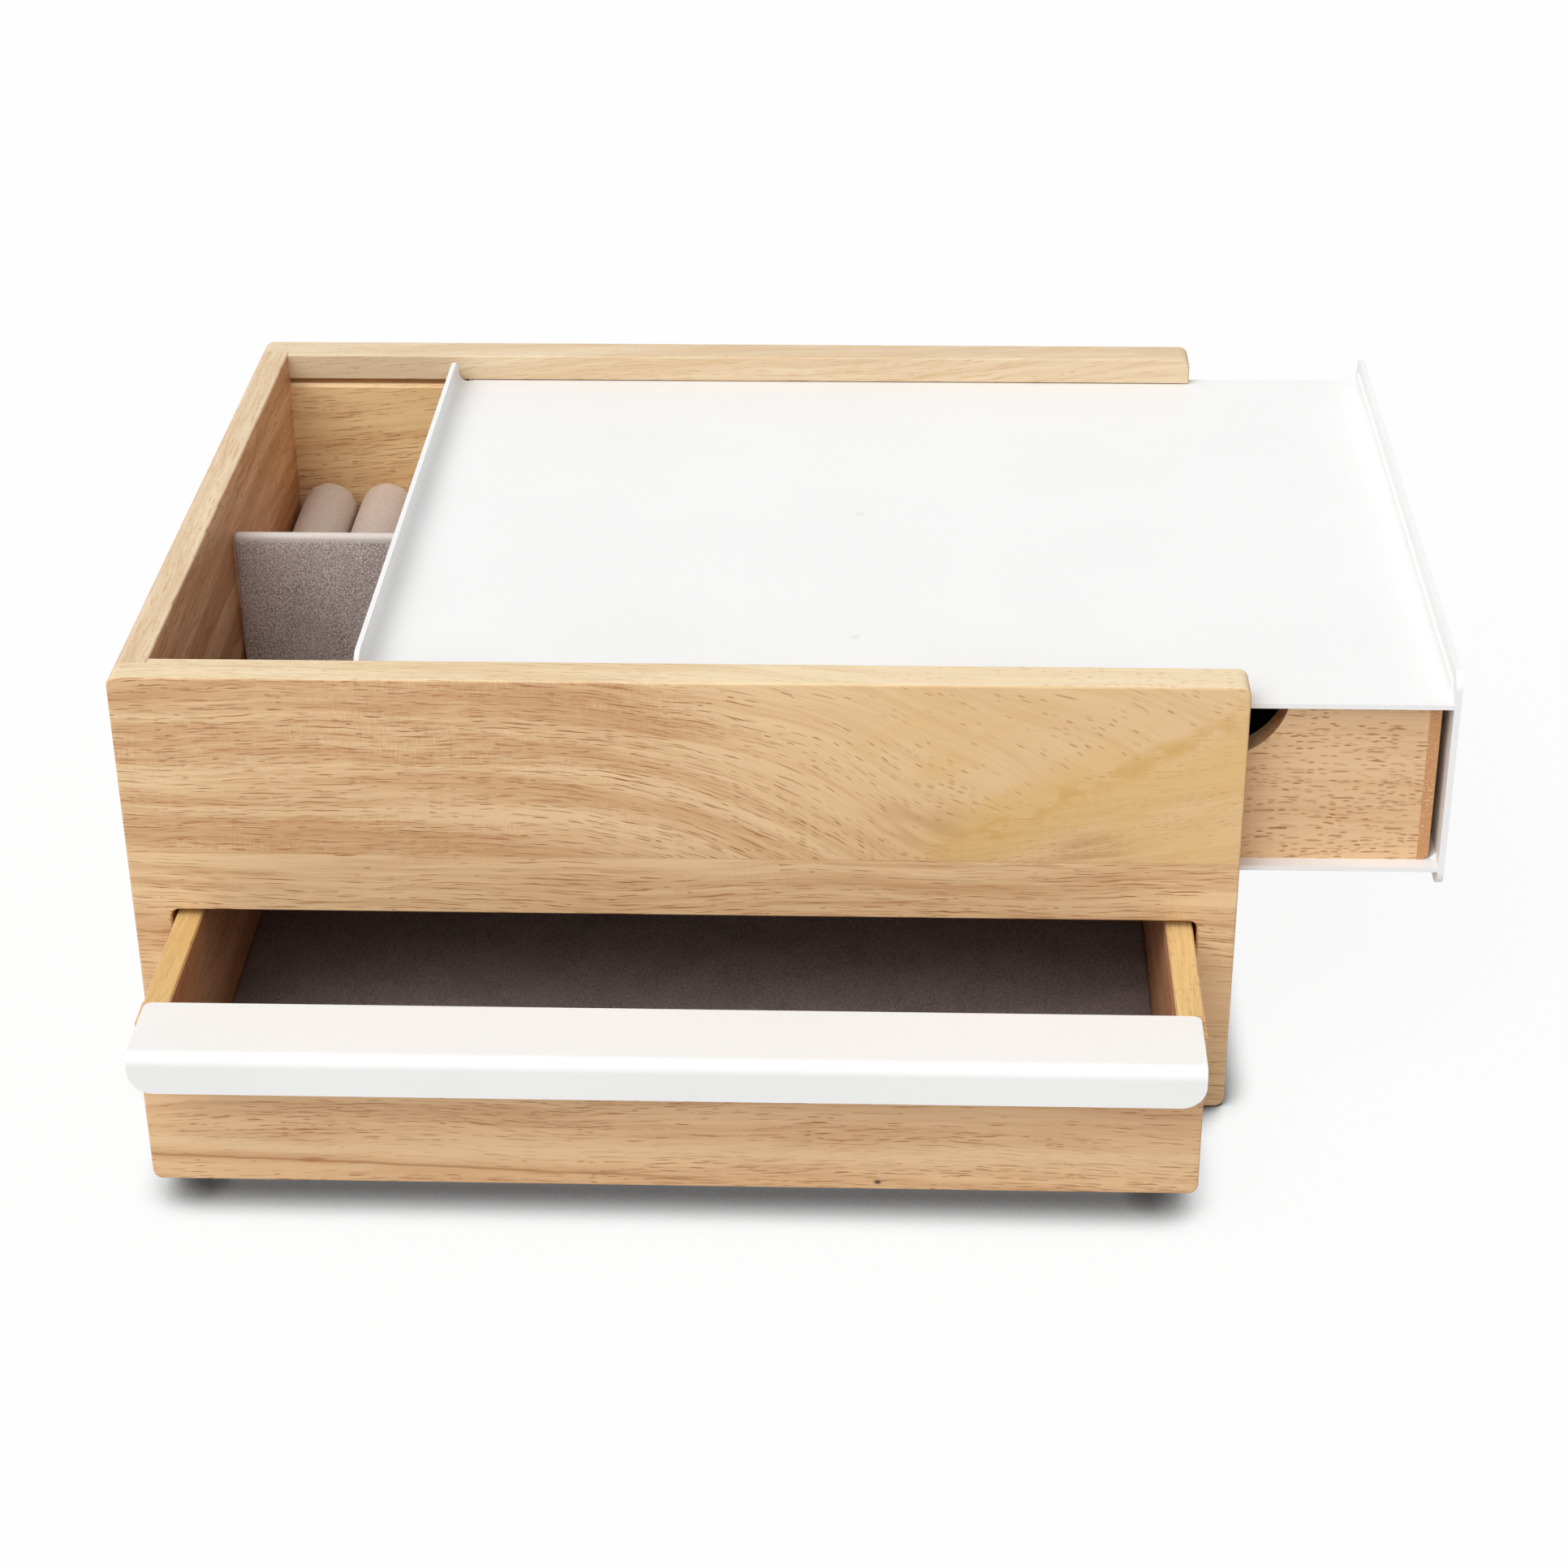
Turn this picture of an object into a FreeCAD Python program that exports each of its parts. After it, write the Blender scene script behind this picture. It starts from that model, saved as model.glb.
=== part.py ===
"""Wooden jewellery box with a sliding sheet-metal lid, a hidden tray and a drawer.

Millimetres, +Z up. The origin is the middle of the resting face: X runs to the right,
Y to the back. The lid and the drawer stand partly open, at lid_open and drawer_open.
"""
import FreeCAD, Part
import os
import re
import Sketcher
from FreeCAD import Placement, Rotation, Vector

SIZES = {
    # case
    "box_width": 260,
    "box_depth": 207,
    "box_height": 114,
    "board": 10,
    "side_wall": 8,
    "housing": 2.5,
    "corner_round": 2.5,
    "edge_round": 0.6,
    "edge_ease": 0.4,
    "leg_width": 9,
    "opening_height": 52.3,
    "opening_round": 2,
    "rail_height": 61.4,
    "floor_level": 54.5,
    "floor_thick": 5,
    "base_thick": 6.5,
    "panel_tongue": 3,
    # top compartment
    "liner_thick": 1.5,
    "felt_wall": 3,
    "felt_wall_height": 39.8,
    "felt_wall_round": 1.2,
    "felt_wall_gap": 0.5,
    "partition_place": 142.5,
    "divider_place": 105.5,
    "roll_radius": 7.85,
    "roll_seat": 7.3,
    "roll_pitch": 16.5,
    "roll_margin": 1.35,
    "roll_gap": 0.5,
    # sliding lid
    "metal": 1.2,
    "metal_corner": 5.5,
    "lid_open": 46.5,
    "stop_gap": 0.2,
    "lid_level": 105.5,
    "lid_width": 194,
    "lid_length": 251.7,
    "lip_width": 185.6,
    "lip_rise": 7.3,
    "lip_bend": 2.5,
    "relief_width": 0.8,
    "relief_length": 1.4,
    "weld_fillet": 0.8,
    "weld_land": 0.5,
    "weld_hollow": 3.2,
    "plate_thick": 1.5,
    "plate_bottom": 58.3,
    "plate_corner": 4,
    "groove_depth": 4,
    "groove_height": 1.9,
    "groove_ease": 0.35,
    "groove_bevel": 0.9,
    "shelf_groove_start": 150,
    # hidden tray and its carrier
    "shelf_level": 62.7,
    "shelf_length": 108.5,
    "shelf_weld": 1.5,
    "carrier_width": 185,
    "carrier_bend": 1.4,
    "flange_length": 36,
    "tray_width": 104,
    "tray_depth": 186.4,
    "tray_height": 40.8,
    "tray_board": 6.5,
    "tray_lap": 2.7,
    "tray_gap": 1.9,
    "tray_corner": 2,
    "tray_ply_level": 2,
    "thumb_radius": 17.5,
    "thumb_rise": 43.9,
    # drawer
    "drawer_open": 46.5,
    "drawer_width": 240,
    "drawer_depth": 195.5,
    "drawer_bottom": 8,
    "drawer_top": 50.6,
    "drawer_board": 9,
    "drawer_side": 6.3,
    "side_bottom": 6.8,
    "drawer_corner": 2.3,
    "ply": 3,
    "ply_level": 10,
    "ply_tongue": 3,
    "felt": 1.2,
    "felt_edge": 0.4,
    "handle_length": 238,
    "handle_setback": 1.8,
    "handle_reach": 14.5,
    "handle_lip": 10,
    "handle_bend": 1.6,
    "handle_corner": 2,
}
RING_ROLLS = 8
TOLERANCE = 1e-4

# Places that several pieces share
TRAY_LEFT = "box_width / 2 + stop_gap + lid_open - tray_gap - tray_width"
TRAY_FRONT = "-tray_depth / 2"
DRAWER_LEFT = "-drawer_width / 2"
DRAWER_FACE = "-box_depth / 2 - drawer_open"

doc = FreeCAD.newDocument("jewellery_box")
sheet = doc.addObject("Spreadsheet::Sheet", "sizes")
for row, (alias, size) in enumerate(SIZES.items(), start=1):
    sheet.set("A%d" % row, alias.replace("_", " "))
    sheet.set("B%d" % row, str(size))
    sheet.setAlias("B%d" % row, alias)
doc.recompute()

sub_parts = []


def formula(text):
    """The expression with every size name pointed at the sheet."""
    return re.sub(r"[a-z_]+", lambda word: "sizes." + word.group(0), text)


def value(text):
    """The number that an expression gives now."""
    return float(sheet.evalExpression(text))


def place(piece, x, y, z, turn=0):
    """Bind a piece's position to expressions; turn is about +Z, in degrees."""
    piece.Placement = Placement(Vector(0, 0, 0), Rotation(Vector(0, 0, 1), turn))
    for axis, text in zip("xyz", (x, y, z)):
        piece.setExpression("Placement.Base." + axis, formula(text))
    sub_parts.append(piece)


def panel(label, size, at):
    """A plain rectangular sheet of plywood or felt, with its lowest corner at a point."""
    block = doc.addObject("Part::Box", label)
    block.Label = label
    for name, text in zip(("Length", "Width", "Height"), size):
        block.setExpression(name, formula(text))
    place(block, *at)


def new_body(label):
    body = doc.addObject("PartDesign::Body", label)
    body.Label = label
    return body


def new_sketch(body, role, offset="0"):
    """An empty sketch on one of the body's own planes, moved along that plane's normal."""
    sketch = body.newObject("Sketcher::SketchObject", body.Name + "_sketch")
    plane = [item for item in body.Origin.OriginFeatures if item.Role == role][0]
    sketch.AttachmentSupport = [(plane, "")]
    sketch.MapMode = "FlatFace"
    if offset != "0":
        sketch.setExpression("AttachmentOffset.Base.z", formula(offset))
    return sketch


def bind(sketch, kind, points, text):
    """Add a sized constraint that follows an expression."""
    index = sketch.addConstraint(Sketcher.Constraint(kind, *points, value(text)))
    sketch.setExpression("Constraints[%d]" % index, formula(text))


def outline(sketch, corners):
    """Add a closed outline of straight lines, with every corner held in place."""
    points = [Vector(value(x), value(y), 0) for x, y in corners]
    first = sketch.GeometryCount
    count = len(points)
    for i in range(count):
        sketch.addGeometry(Part.LineSegment(points[i], points[(i + 1) % count]))
    for i, (x, y) in enumerate(corners):
        line = first + i
        sketch.addConstraint(Sketcher.Constraint("Coincident", line, 2, first + (i + 1) % count, 1))
        for kind, axis, text in (("DistanceX", -2, x), ("DistanceY", -1, y)):
            if text == "0":
                sketch.addConstraint(Sketcher.Constraint("PointOnObject", line, 1, axis))
            else:
                bind(sketch, kind, (-1, 1, line, 1), text)
    return sketch


def rectangle(sketch, left, right, low, high):
    return outline(sketch, [(left, low), (right, low), (right, high), (left, high)])


def pad(body, sketch, length, backwards=False):
    feature = body.newObject("PartDesign::Pad", body.Name + "_pad")
    feature.Profile = sketch
    feature.Reversed = backwards
    feature.setExpression("Length", formula(length))
    doc.recompute()


def pocket(body, sketch, depth, backwards=False):
    """Cut a sketch into the body, and make sure that it takes something away."""
    before = body.Shape.Volume
    feature = body.newObject("PartDesign::Pocket", body.Name + "_pocket")
    feature.Profile = sketch
    feature.Reversed = backwards
    feature.setExpression("Length", formula(depth))
    doc.recompute()
    if body.Shape.Volume > before - TOLERANCE:
        raise RuntimeError("%s cuts nothing in %s" % (feature.Name, body.Label))


def edges_along(feature, axis, where):
    """Names of the straight edges along an axis whose middles have the given coordinates."""
    names = []
    for number, edge in enumerate(feature.Shape.Edges, start=1):
        if not isinstance(edge.Curve, Part.Line):
            continue
        span = edge.Vertexes[1].Point - edge.Vertexes[0].Point
        if abs(getattr(span, axis)) < span.Length - TOLERANCE:
            continue
        middle = edge.CenterOfMass
        if all(abs(getattr(middle, key) - value(text)) < TOLERANCE for key, text in where.items()):
            names.append("Edge%d" % number)
    return names


def dress(body, kind, size_name, size_text, groups):
    """Round or bevel edges; each group is an axis and the place of the edges' middles."""
    base = body.Tip
    names = []
    for axis, where in groups:
        found = edges_along(base, axis, where)
        if not found:
            raise RuntimeError("no edge along %s at %s on %s" % (axis, where, body.Label))
        names += [name for name in found if name not in names]
    feature = body.newObject("PartDesign::" + kind, body.Name + "_" + kind.lower())
    feature.Base = (base, names)
    feature.setExpression(size_name, formula(size_text))
    doc.recompute()


def fillet(body, radius, groups):
    dress(body, "Fillet", "Radius", radius, groups)


def chamfer(body, size_text, groups):
    dress(body, "Chamfer", "Size", size_text, groups)


def groove(body, role, offset, span, low, high, depth, backwards):
    """A straight groove: a rectangle on an inner face, cut to a depth."""
    sketch = rectangle(new_sketch(body, role, offset), span[0], span[1], low, high)
    pocket(body, sketch, depth, backwards)


def long_panel(label, inner, y, has_opening):
    """The front or back board: grooves for the lid and the shelf, housings for the walls."""
    body = new_body(label)
    corners = [("0", "0"), ("box_width", "0"), ("box_width", "box_height"), ("0", "box_height")]
    far_leg = "box_width - leg_width"
    if has_opening:
        corners[1:1] = [
            ("leg_width", "0"),
            ("leg_width", "opening_height"),
            (far_leg, "opening_height"),
            (far_leg, "0"),
        ]
    pad(body, outline(new_sketch(body, "XZ_Plane"), corners), "board", True)
    ends = ("0", "box_width")
    fillet(body, "corner_round", [("y", {"x": x, "z": z}) for x in ends for z in ("0", "box_height")])
    if has_opening:
        tops = [("y", {"x": x, "z": "opening_height"}) for x in ("leg_width", far_leg)]
        fillet(body, "opening_round", tops)
    lid_low = "lid_level - groove_ease"
    shelf_low = "shelf_level - groove_ease"
    cuts = (
        (("0", "side_wall"), "0", "box_height", "housing"),
        (("box_width - side_wall", "box_width"), "0", "rail_height", "housing"),
        (("side_wall", "box_width"), lid_low, lid_low + " + groove_height", "groove_depth"),
        (("shelf_groove_start", "box_width"), shelf_low, shelf_low + " + groove_height", "groove_depth"),
    )
    for span, low, high, depth in cuts:
        groove(body, "XZ_Plane", "-" + inner, span, low, high, depth, inner == "board")
    chamfer(body, "groove_bevel", [("x", {"y": inner, "z": lid_low})])
    outer = "0" if inner == "board" else "board"
    eased = [("x", {"y": face, "z": "box_height"}) for face in (inner, outer)]
    eased += [("z", {"x": x, "y": outer}) for x in ends]
    fillet(body, "edge_round", eased)
    if has_opening:
        chamfer(body, "edge_ease", [("x", {"y": outer, "z": "opening_height"})])
    place(body, "-box_width / 2", y, "0")


def side_wall(label, height, inner, corners, x):
    """A wall between the boards, round outside at the heights where the boards' corners are round."""
    body = new_body(label)
    length = "box_depth - 2 * board + 2 * housing"
    pad(body, rectangle(new_sketch(body, "YZ_Plane"), "0", length, "0", height), "side_wall")
    for low, high in (("floor_level", "floor_level + floor_thick"), ("0", "base_thick")):
        groove(body, "YZ_Plane", inner, ("0", length), low, high, "panel_tongue", inner == "0")
    outer = "0" if inner == "side_wall" else "side_wall"
    fillet(body, "corner_round", [("y", {"x": outer, "z": z}) for z in corners])
    faces = [inner] if height in corners else [inner, outer]
    fillet(body, "edge_round", [("y", {"x": face, "z": height}) for face in faces])
    place(body, x, "board - box_depth / 2 - housing", "0")


def build_case():
    long_panel("front_panel", "board", "-box_depth / 2", True)
    long_panel("back_panel", "0", "box_depth / 2 - board", False)
    side_wall("left_wall", "box_height", "side_wall", ("0", "box_height"), "-box_width / 2")
    side_wall("right_wall", "rail_height", "0", ("0",), "box_width / 2 - side_wall")
    width = "box_width - 2 * side_wall + 2 * panel_tongue"
    depth = "box_depth - 2 * board"
    corner = ("side_wall - box_width / 2 - panel_tongue", "board - box_depth / 2")
    panel("compartment_floor", (width, depth, "floor_thick"), corner + ("floor_level",))
    panel("base_panel", (width, depth, "base_thick"), corner + ("0",))


def felt_wall(label, length, along, x, y):
    """A thin upright covered board, round along its top."""
    body = new_body(label)
    across = "y" if along == "x" else "x"
    size = (length, "felt_wall") if along == "x" else ("felt_wall", length)
    pad(body, rectangle(new_sketch(body, "XY_Plane"), "0", size[0], "0", size[1]), "felt_wall_height")
    tops = [(along, {across: face, "z": "felt_wall_height"}) for face in ("0", "felt_wall")]
    fillet(body, "felt_wall_round", tops)
    place(body, x, y, "floor_level + floor_thick + liner_thick")


def ring_roll(number):
    """A padded roll, flat where it lies on the liner."""
    body = new_body("ring_roll_%d" % number)
    sketch = new_sketch(body, "XZ_Plane")
    radius = value("roll_radius")
    seat = value("roll_seat")
    half_flat = (radius ** 2 - seat ** 2) ** 0.5
    left = Vector(-half_flat, -seat, 0)
    right = Vector(half_flat, -seat, 0)
    sketch.addGeometry(Part.Arc(right, Vector(0, radius, 0), left))
    sketch.addGeometry(Part.LineSegment(left, right))
    for ends in ((0, 3, -1, 1), (0, 2, 1, 1), (1, 2, 0, 1)):
        sketch.addConstraint(Sketcher.Constraint("Coincident", *ends))
    sketch.addConstraint(Sketcher.Constraint("Horizontal", 1))
    bind(sketch, "Radius", (0,), "roll_radius")
    bind(sketch, "DistanceY", (1, 1, -1, 1), "roll_seat")
    pad(body, sketch, "box_depth - board - divider_place - felt_wall - 2 * roll_gap", True)
    centre = "side_wall - box_width / 2 + roll_margin + roll_radius"
    place(
        body,
        centre + " + %d * roll_pitch" % (number - 1),
        "divider_place + felt_wall + roll_gap - box_depth / 2",
        "floor_level + floor_thick + liner_thick + roll_seat",
    )


def build_compartment():
    left = "side_wall - box_width / 2"
    inside = "board - box_depth / 2"
    depth = "box_depth - 2 * board"
    reach = "partition_place + felt_wall - side_wall"
    panel("compartment_liner", (reach, depth, "liner_thick"), (left, inside, "floor_level + floor_thick"))
    span = depth + " - 2 * felt_wall_gap"
    felt_wall("partition", span, "y", "partition_place - box_width / 2", inside + " + felt_wall_gap")
    span = "partition_place - side_wall - 2 * felt_wall_gap"
    felt_wall("divider", span, "x", left + " + felt_wall_gap", "divider_place - box_depth / 2")
    for number in range(1, RING_ROLLS + 1):
        ring_roll(number)


def build_lid():
    """The lid sheet: a turned-up lip on its left end, and a hollow weld where the end plate stands on it."""
    body = new_body("lid_plate")
    bend = "metal + lip_bend"
    flat = new_sketch(body, "XZ_Plane")
    pad(body, rectangle(flat, bend, "lid_length", "0", "metal"), "lid_width", True)
    top = "metal + lip_rise"
    inset = "(lid_width - lip_width) / 2"
    lip = [("0", "0"), (bend, "0"), (bend, "metal"), ("metal", "metal"), ("metal", top), ("0", top)]
    pad(body, outline(new_sketch(body, "XZ_Plane", "-" + inset), lip), "lip_width", True)
    fillet(body, "lip_bend", [("y", {"x": "metal", "z": "metal"})])
    fillet(body, bend, [("y", {"x": "0", "z": "0"})])
    sides = (inset, "lid_width - " + inset)
    fillet(body, "metal_corner", [("x", {"y": y, "z": top}) for y in sides])
    relief = new_sketch(body, "XY_Plane")
    rectangle(relief, bend, bend + " + relief_length", inset + " - relief_width", inset)
    rectangle(relief, bend, bend + " + relief_length", sides[1], sides[1] + " + relief_width")
    pocket(body, relief, "metal", True)
    weld = new_sketch(body, "XZ_Plane", "-(lid_width - carrier_width) / 2")
    weld_start = "lid_length - weld_fillet"
    outline(weld, [(weld_start, "0"), ("lid_length", "-weld_fillet"), ("lid_length", "0")])
    land = "lid_length - weld_land"
    crest = "metal + weld_hollow + weld_land"
    bead = [(land, "metal"), ("lid_length", "metal"), ("lid_length", crest + " + weld_land"), (land, crest)]
    outline(weld, bead)
    pad(body, weld, "carrier_width", True)
    fillet(body, "weld_hollow", [("y", {"x": land, "z": "metal"})])
    place(body, "box_width / 2 + stop_gap + lid_open - lid_length", "-lid_width / 2", "lid_level")


def build_end_plate():
    """The upright plate on the lid's right end, standing proud above it and below the shelf."""
    body = new_body("end_plate")
    height = "box_height - plate_bottom"
    pad(body, rectangle(new_sketch(body, "YZ_Plane"), "0", "lid_width", "0", height), "plate_thick")
    corners = [("x", {"y": y, "z": z}) for y in ("0", "lid_width") for z in ("0", height)]
    fillet(body, "plate_corner", corners)
    place(body, "box_width / 2 + stop_gap + lid_open", "-lid_width / 2", "plate_bottom")


def build_carrier():
    """The folded sheet that hangs the tray's shelf from the lid: flange, upright and shelf."""
    body = new_body("tray_carrier")
    rise = "lid_level - shelf_level"
    end = "flange_length + shelf_length"
    upright = "flange_length + metal"
    folded = [
        ("0", rise + " - metal"),
        ("flange_length", rise + " - metal"),
        ("flange_length", "0"),
        (end + " - weld_fillet", "0"),
        (end, "-weld_fillet"),
        (end, "metal + shelf_weld"),
        (end + " - shelf_weld", "metal"),
        (upright, "metal"),
        (upright, rise),
        ("0", rise),
    ]
    inset = "(lid_width - carrier_width) / 2"
    pad(body, outline(new_sketch(body, "XZ_Plane", "-" + inset), folded), "carrier_width", True)
    inner = [(upright, "metal"), ("flange_length", rise + " - metal")]
    outer = [("flange_length", "0"), (upright, rise)]
    fillet(body, "carrier_bend", [("y", {"x": x, "z": z}) for x, z in inner])
    fillet(body, "carrier_bend + metal", [("y", {"x": x, "z": z}) for x, z in outer])
    shelf = new_sketch(body, "XZ_Plane")
    pad(body, rectangle(shelf, upright + " + carrier_bend", end, "0", "metal"), "lid_width", True)
    place(
        body,
        "box_width / 2 + stop_gap + lid_open - " + end.replace(" + ", " - "),
        "-lid_width / 2",
        "shelf_level",
    )


def tray_side(label, x, y, turn):
    """A tray side: its ends lap over the front and back boards."""
    body = new_body(label)
    far = "tray_depth - tray_board"
    plan = [
        ("0", "0"),
        ("tray_lap", "0"),
        ("tray_lap", "tray_board"),
        ("tray_board", "tray_board"),
        ("tray_board", far),
        ("tray_lap", far),
        ("tray_lap", "tray_depth"),
        ("0", "tray_depth"),
    ]
    pad(body, outline(new_sketch(body, "XY_Plane"), plan), "tray_height")
    top = "tray_ply_level + ply"
    groove(body, "YZ_Plane", "tray_board", ("0", "tray_depth"), "tray_ply_level", top, "ply_tongue", False)
    fillet(body, "tray_corner", [("y", {"x": "0", "z": "0"})])
    chamfer(body, "edge_ease", [("y", {"x": x, "z": "tray_height"}) for x in ("0", "tray_board")])
    place(body, x, y, "shelf_level + metal", turn)


def tray_end(label, inner, y, has_notch):
    """The tray's front or back board, fitted between the laps of its sides."""
    body = new_body(label)
    width = "tray_width - 2 * tray_lap"
    pad(body, rectangle(new_sketch(body, "XZ_Plane"), "0", width, "0", "tray_height"), "tray_board", True)
    top = "tray_ply_level + ply"
    face = "-" + inner
    groove(body, "XZ_Plane", face, ("0", width), "tray_ply_level", top, "ply_tongue", inner != "0")
    if has_notch:
        notch = new_sketch(body, "XZ_Plane")
        centre = Vector(value(width) / 2, value("thumb_rise"), 0)
        notch.addGeometry(Part.Circle(centre, Vector(0, 0, 1), value("thumb_radius")))
        bind(notch, "DistanceX", (-1, 1, 0, 3), "(%s) / 2" % width)
        bind(notch, "DistanceY", (-1, 1, 0, 3), "thumb_rise")
        bind(notch, "Radius", (0,), "thumb_radius")
        pocket(body, notch, "tray_board")
    place(body, TRAY_LEFT + " + tray_lap", y, "shelf_level + metal")


def tray_sheet(label, thick, margin, level):
    """A flat sheet inside the tray, a margin in from its outer faces."""
    size = ["%s - 2 * (%s)" % (side, margin) for side in ("tray_width", "tray_depth")]
    at = ["%s + %s" % (edge, margin) for edge in (TRAY_LEFT, TRAY_FRONT)]
    panel(label, size + [thick], at + ["shelf_level + metal + " + level])


def build_tray():
    tray_side("tray_left_side", TRAY_LEFT, TRAY_FRONT, 0)
    tray_side("tray_right_side", TRAY_LEFT + " + tray_width", "tray_depth / 2", 180)
    tray_end("tray_front", "tray_board", TRAY_FRONT, True)
    tray_end("tray_back", "0", "tray_depth / 2 - tray_board", False)
    tray_sheet("tray_bottom", "ply", "tray_board - ply_tongue", "tray_ply_level")
    tray_sheet("tray_liner", "felt", "tray_board + felt_edge", "tray_ply_level + ply")


def build_drawer_front():
    """The drawer's front board, grooved for its bottom and round at its lower corners."""
    body = new_body("drawer_front")
    height = "drawer_top - drawer_bottom"
    low = "ply_level - drawer_bottom"
    span = ("drawer_side - ply_tongue", "drawer_width - drawer_side + ply_tongue")
    pad(body, rectangle(new_sketch(body, "XZ_Plane"), "0", "drawer_width", "0", height), "drawer_board", True)
    fillet(body, "drawer_corner", [("y", {"x": x, "z": "0"}) for x in ("0", "drawer_width")])
    groove(body, "XZ_Plane", "-drawer_board", span, low, low + " + ply", "ply_tongue", True)
    fillet(body, "edge_round", [("x", {"y": "0", "z": "0"})])
    place(body, DRAWER_LEFT, DRAWER_FACE, "drawer_bottom")


def drawer_wall(label, role, length, inner, x, y):
    """A drawer side or back, grooved for the bottom; inner is where its inside face lies."""
    body = new_body(label)
    across = role == "XZ_Plane"
    height = "drawer_top - side_bottom"
    low = "ply_level - side_bottom"
    pad(body, rectangle(new_sketch(body, role), "0", length, "0", height), "drawer_side", across)
    groove(body, role, inner, ("0", length), low, low + " + ply", "ply_tongue", inner == "0" and not across)
    along, sideways = ("x", "y") if across else ("y", "x")
    tops = [(along, {sideways: face, "z": height}) for face in ("0", "drawer_side")]
    chamfer(body, "edge_ease", tops)
    place(body, x, y, "side_bottom")


def drawer_sheet(label, thick, margin, level):
    """A flat sheet inside the drawer, a margin in from its inner faces."""
    width = "drawer_width - 2 * drawer_side - 2 * (%s)" % margin
    depth = "drawer_depth - drawer_board - drawer_side - 2 * (%s)" % margin
    at = (DRAWER_LEFT + " + drawer_side + " + margin, DRAWER_FACE + " + drawer_board + " + margin, level)
    panel(label, (width, depth, thick), at)


def build_drawer():
    build_drawer_front()
    length = "drawer_depth - drawer_board"
    side_y = DRAWER_FACE + " + drawer_board"
    drawer_wall("drawer_left_side", "YZ_Plane", length, "drawer_side", DRAWER_LEFT, side_y)
    drawer_wall("drawer_right_side", "YZ_Plane", length, "0", "drawer_width / 2 - drawer_side", side_y)
    width = "drawer_width - 2 * drawer_side"
    back_y = DRAWER_FACE + " + drawer_depth - drawer_side"
    drawer_wall("drawer_back", "XZ_Plane", width, "0", DRAWER_LEFT + " + drawer_side", back_y)
    drawer_sheet("drawer_bottom_panel", "ply", "-ply_tongue", "ply_level")
    drawer_sheet("drawer_liner", "felt", "felt_edge", "ply_level + ply")


def build_handle():
    """The folded pull along the drawer's top edge: a flange with a turned-down lip."""
    body = new_body("drawer_handle")
    depth = "handle_reach + drawer_board - handle_setback"
    under = "handle_lip - metal"
    section = [
        ("0", "0"),
        ("metal", "0"),
        ("metal", under),
        (depth, under),
        (depth, "handle_lip"),
        ("0", "handle_lip"),
    ]
    pad(body, outline(new_sketch(body, "YZ_Plane"), section), "handle_length")
    fillet(body, "handle_bend", [("x", {"y": "metal", "z": under})])
    fillet(body, "handle_bend + metal", [("x", {"y": "0", "z": "handle_lip"})])
    ends = ("0", "handle_length")
    fillet(body, "metal_corner", [("y", {"x": x, "z": "0"}) for x in ends])
    fillet(body, "handle_corner", [("z", {"x": x, "y": depth}) for x in ends])
    place(
        body,
        "-handle_length / 2",
        DRAWER_FACE + " - handle_reach",
        "drawer_top + metal - handle_lip",
    )


def write_parts():
    """Check every object, then write each piece to a file of its own."""
    doc.recompute()
    for item in doc.Objects:
        if "Invalid" in item.State or "Error" in item.State:
            raise RuntimeError("%s failed: %s" % (item.Label, item.State))
    for piece in sub_parts:
        if piece.Shape.isNull() or not piece.Shape.isValid():
            raise RuntimeError("%s has no valid shape" % piece.Label)
    os.makedirs("parts", exist_ok=True)
    for piece in sub_parts:
        piece.Shape.exportStep("parts/%s.step" % piece.Label)


build_case()
build_compartment()
build_lid()
build_end_plate()
build_carrier()
build_tray()
build_drawer()
build_handle()
write_parts()
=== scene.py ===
"""Looks of a wooden jewellery box: pale rubberwood, white powder-coated sheet metal, velvet and felt.

Metres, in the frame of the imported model: +X to the right, +Y to the back, +Z up.
The materials' patterns are worked out in millimetres of that frame. A value named PER_MM is a pattern's
features per millimetre along each axis, a WAVE is such a value with the reach of a sideways shift in
millimetres, and an EDGE or SPAN is where something starts and ends.
"""
import math
import bmesh
import bpy
from mathutils import Euler, Matrix, Vector, noise


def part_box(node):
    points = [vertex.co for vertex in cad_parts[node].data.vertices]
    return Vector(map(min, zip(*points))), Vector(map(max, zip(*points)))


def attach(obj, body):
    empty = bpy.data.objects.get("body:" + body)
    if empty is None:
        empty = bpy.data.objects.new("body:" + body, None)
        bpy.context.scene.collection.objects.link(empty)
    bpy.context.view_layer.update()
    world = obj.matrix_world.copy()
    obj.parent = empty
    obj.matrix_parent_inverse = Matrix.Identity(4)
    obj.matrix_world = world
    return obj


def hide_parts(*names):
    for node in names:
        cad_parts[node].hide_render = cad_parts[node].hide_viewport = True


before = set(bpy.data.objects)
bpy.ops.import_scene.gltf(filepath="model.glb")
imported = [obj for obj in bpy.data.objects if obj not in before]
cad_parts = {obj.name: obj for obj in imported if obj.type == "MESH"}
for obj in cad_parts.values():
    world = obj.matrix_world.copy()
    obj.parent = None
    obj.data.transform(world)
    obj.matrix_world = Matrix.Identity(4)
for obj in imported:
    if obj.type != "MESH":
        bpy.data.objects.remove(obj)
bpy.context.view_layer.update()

MM = 0.001

# Camera, from the edges of the case in the photograph
CAMERA_PLACE = Vector((52.4, -753.0, 452.0)) * MM
CAMERA_AZIMUTH = math.radians(2.457)
CAMERA_ELEVATION = math.radians(29.238)
CAMERA_ROLL = math.radians(-0.589)
CAMERA_LENS = 74.5

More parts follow.
